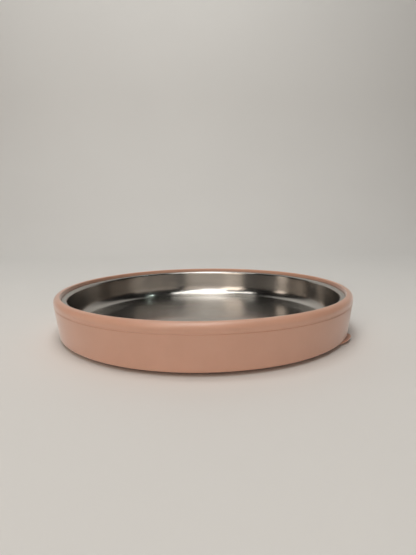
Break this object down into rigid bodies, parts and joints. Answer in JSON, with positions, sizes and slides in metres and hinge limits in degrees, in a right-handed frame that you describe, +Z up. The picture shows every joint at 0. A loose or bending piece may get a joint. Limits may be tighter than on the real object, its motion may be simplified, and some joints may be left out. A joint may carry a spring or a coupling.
{
  "type": "suction bowl",
  "caption": "Shallow round stainless steel dish in a soft silicone sleeve, with a suction cup underneath and a pull tab that breaks the seal.",
  "frame": {"origin": "centre of the suction lip's flat ring, on the table", "axes": "+Z up along the bowl's axis, +X towards the pull tab"},
  "size_m": [0.18, 0.18, 0.0247],
  "materials": {
    "dish_steel": "fine brushed: rings on the wall, turned floor, satin flange",
    "sleeve_silicone": "matte, powdery blush pink moulded silicone",
    "cup_silicone": "satin blush pink moulded silicone"
  },
  "bodies": {
    "sleeve": {"silicone_sleeve": "sleeve_silicone", "suction_cup": "cup_silicone"},
    "dish": {"steel_dish": "dish_steel"},
    "tab": {"pull_tab": "cup_silicone"}
  },
  "joints": [
    {"name": "dish_lift", "type": "slide", "parent": "sleeve", "child": "dish", "axis": [0, 0, 1], "range_m": [0, 0.04]},
    {"name": "tab_bend", "type": "hinge", "parent": "sleeve", "child": "tab", "pos_m": [0.086, 0, 0.00095], "axis": [0, -1, 0], "range_deg": [-5, 18], "stiffness_Nm_per_rad": 0.02}
  ]
}
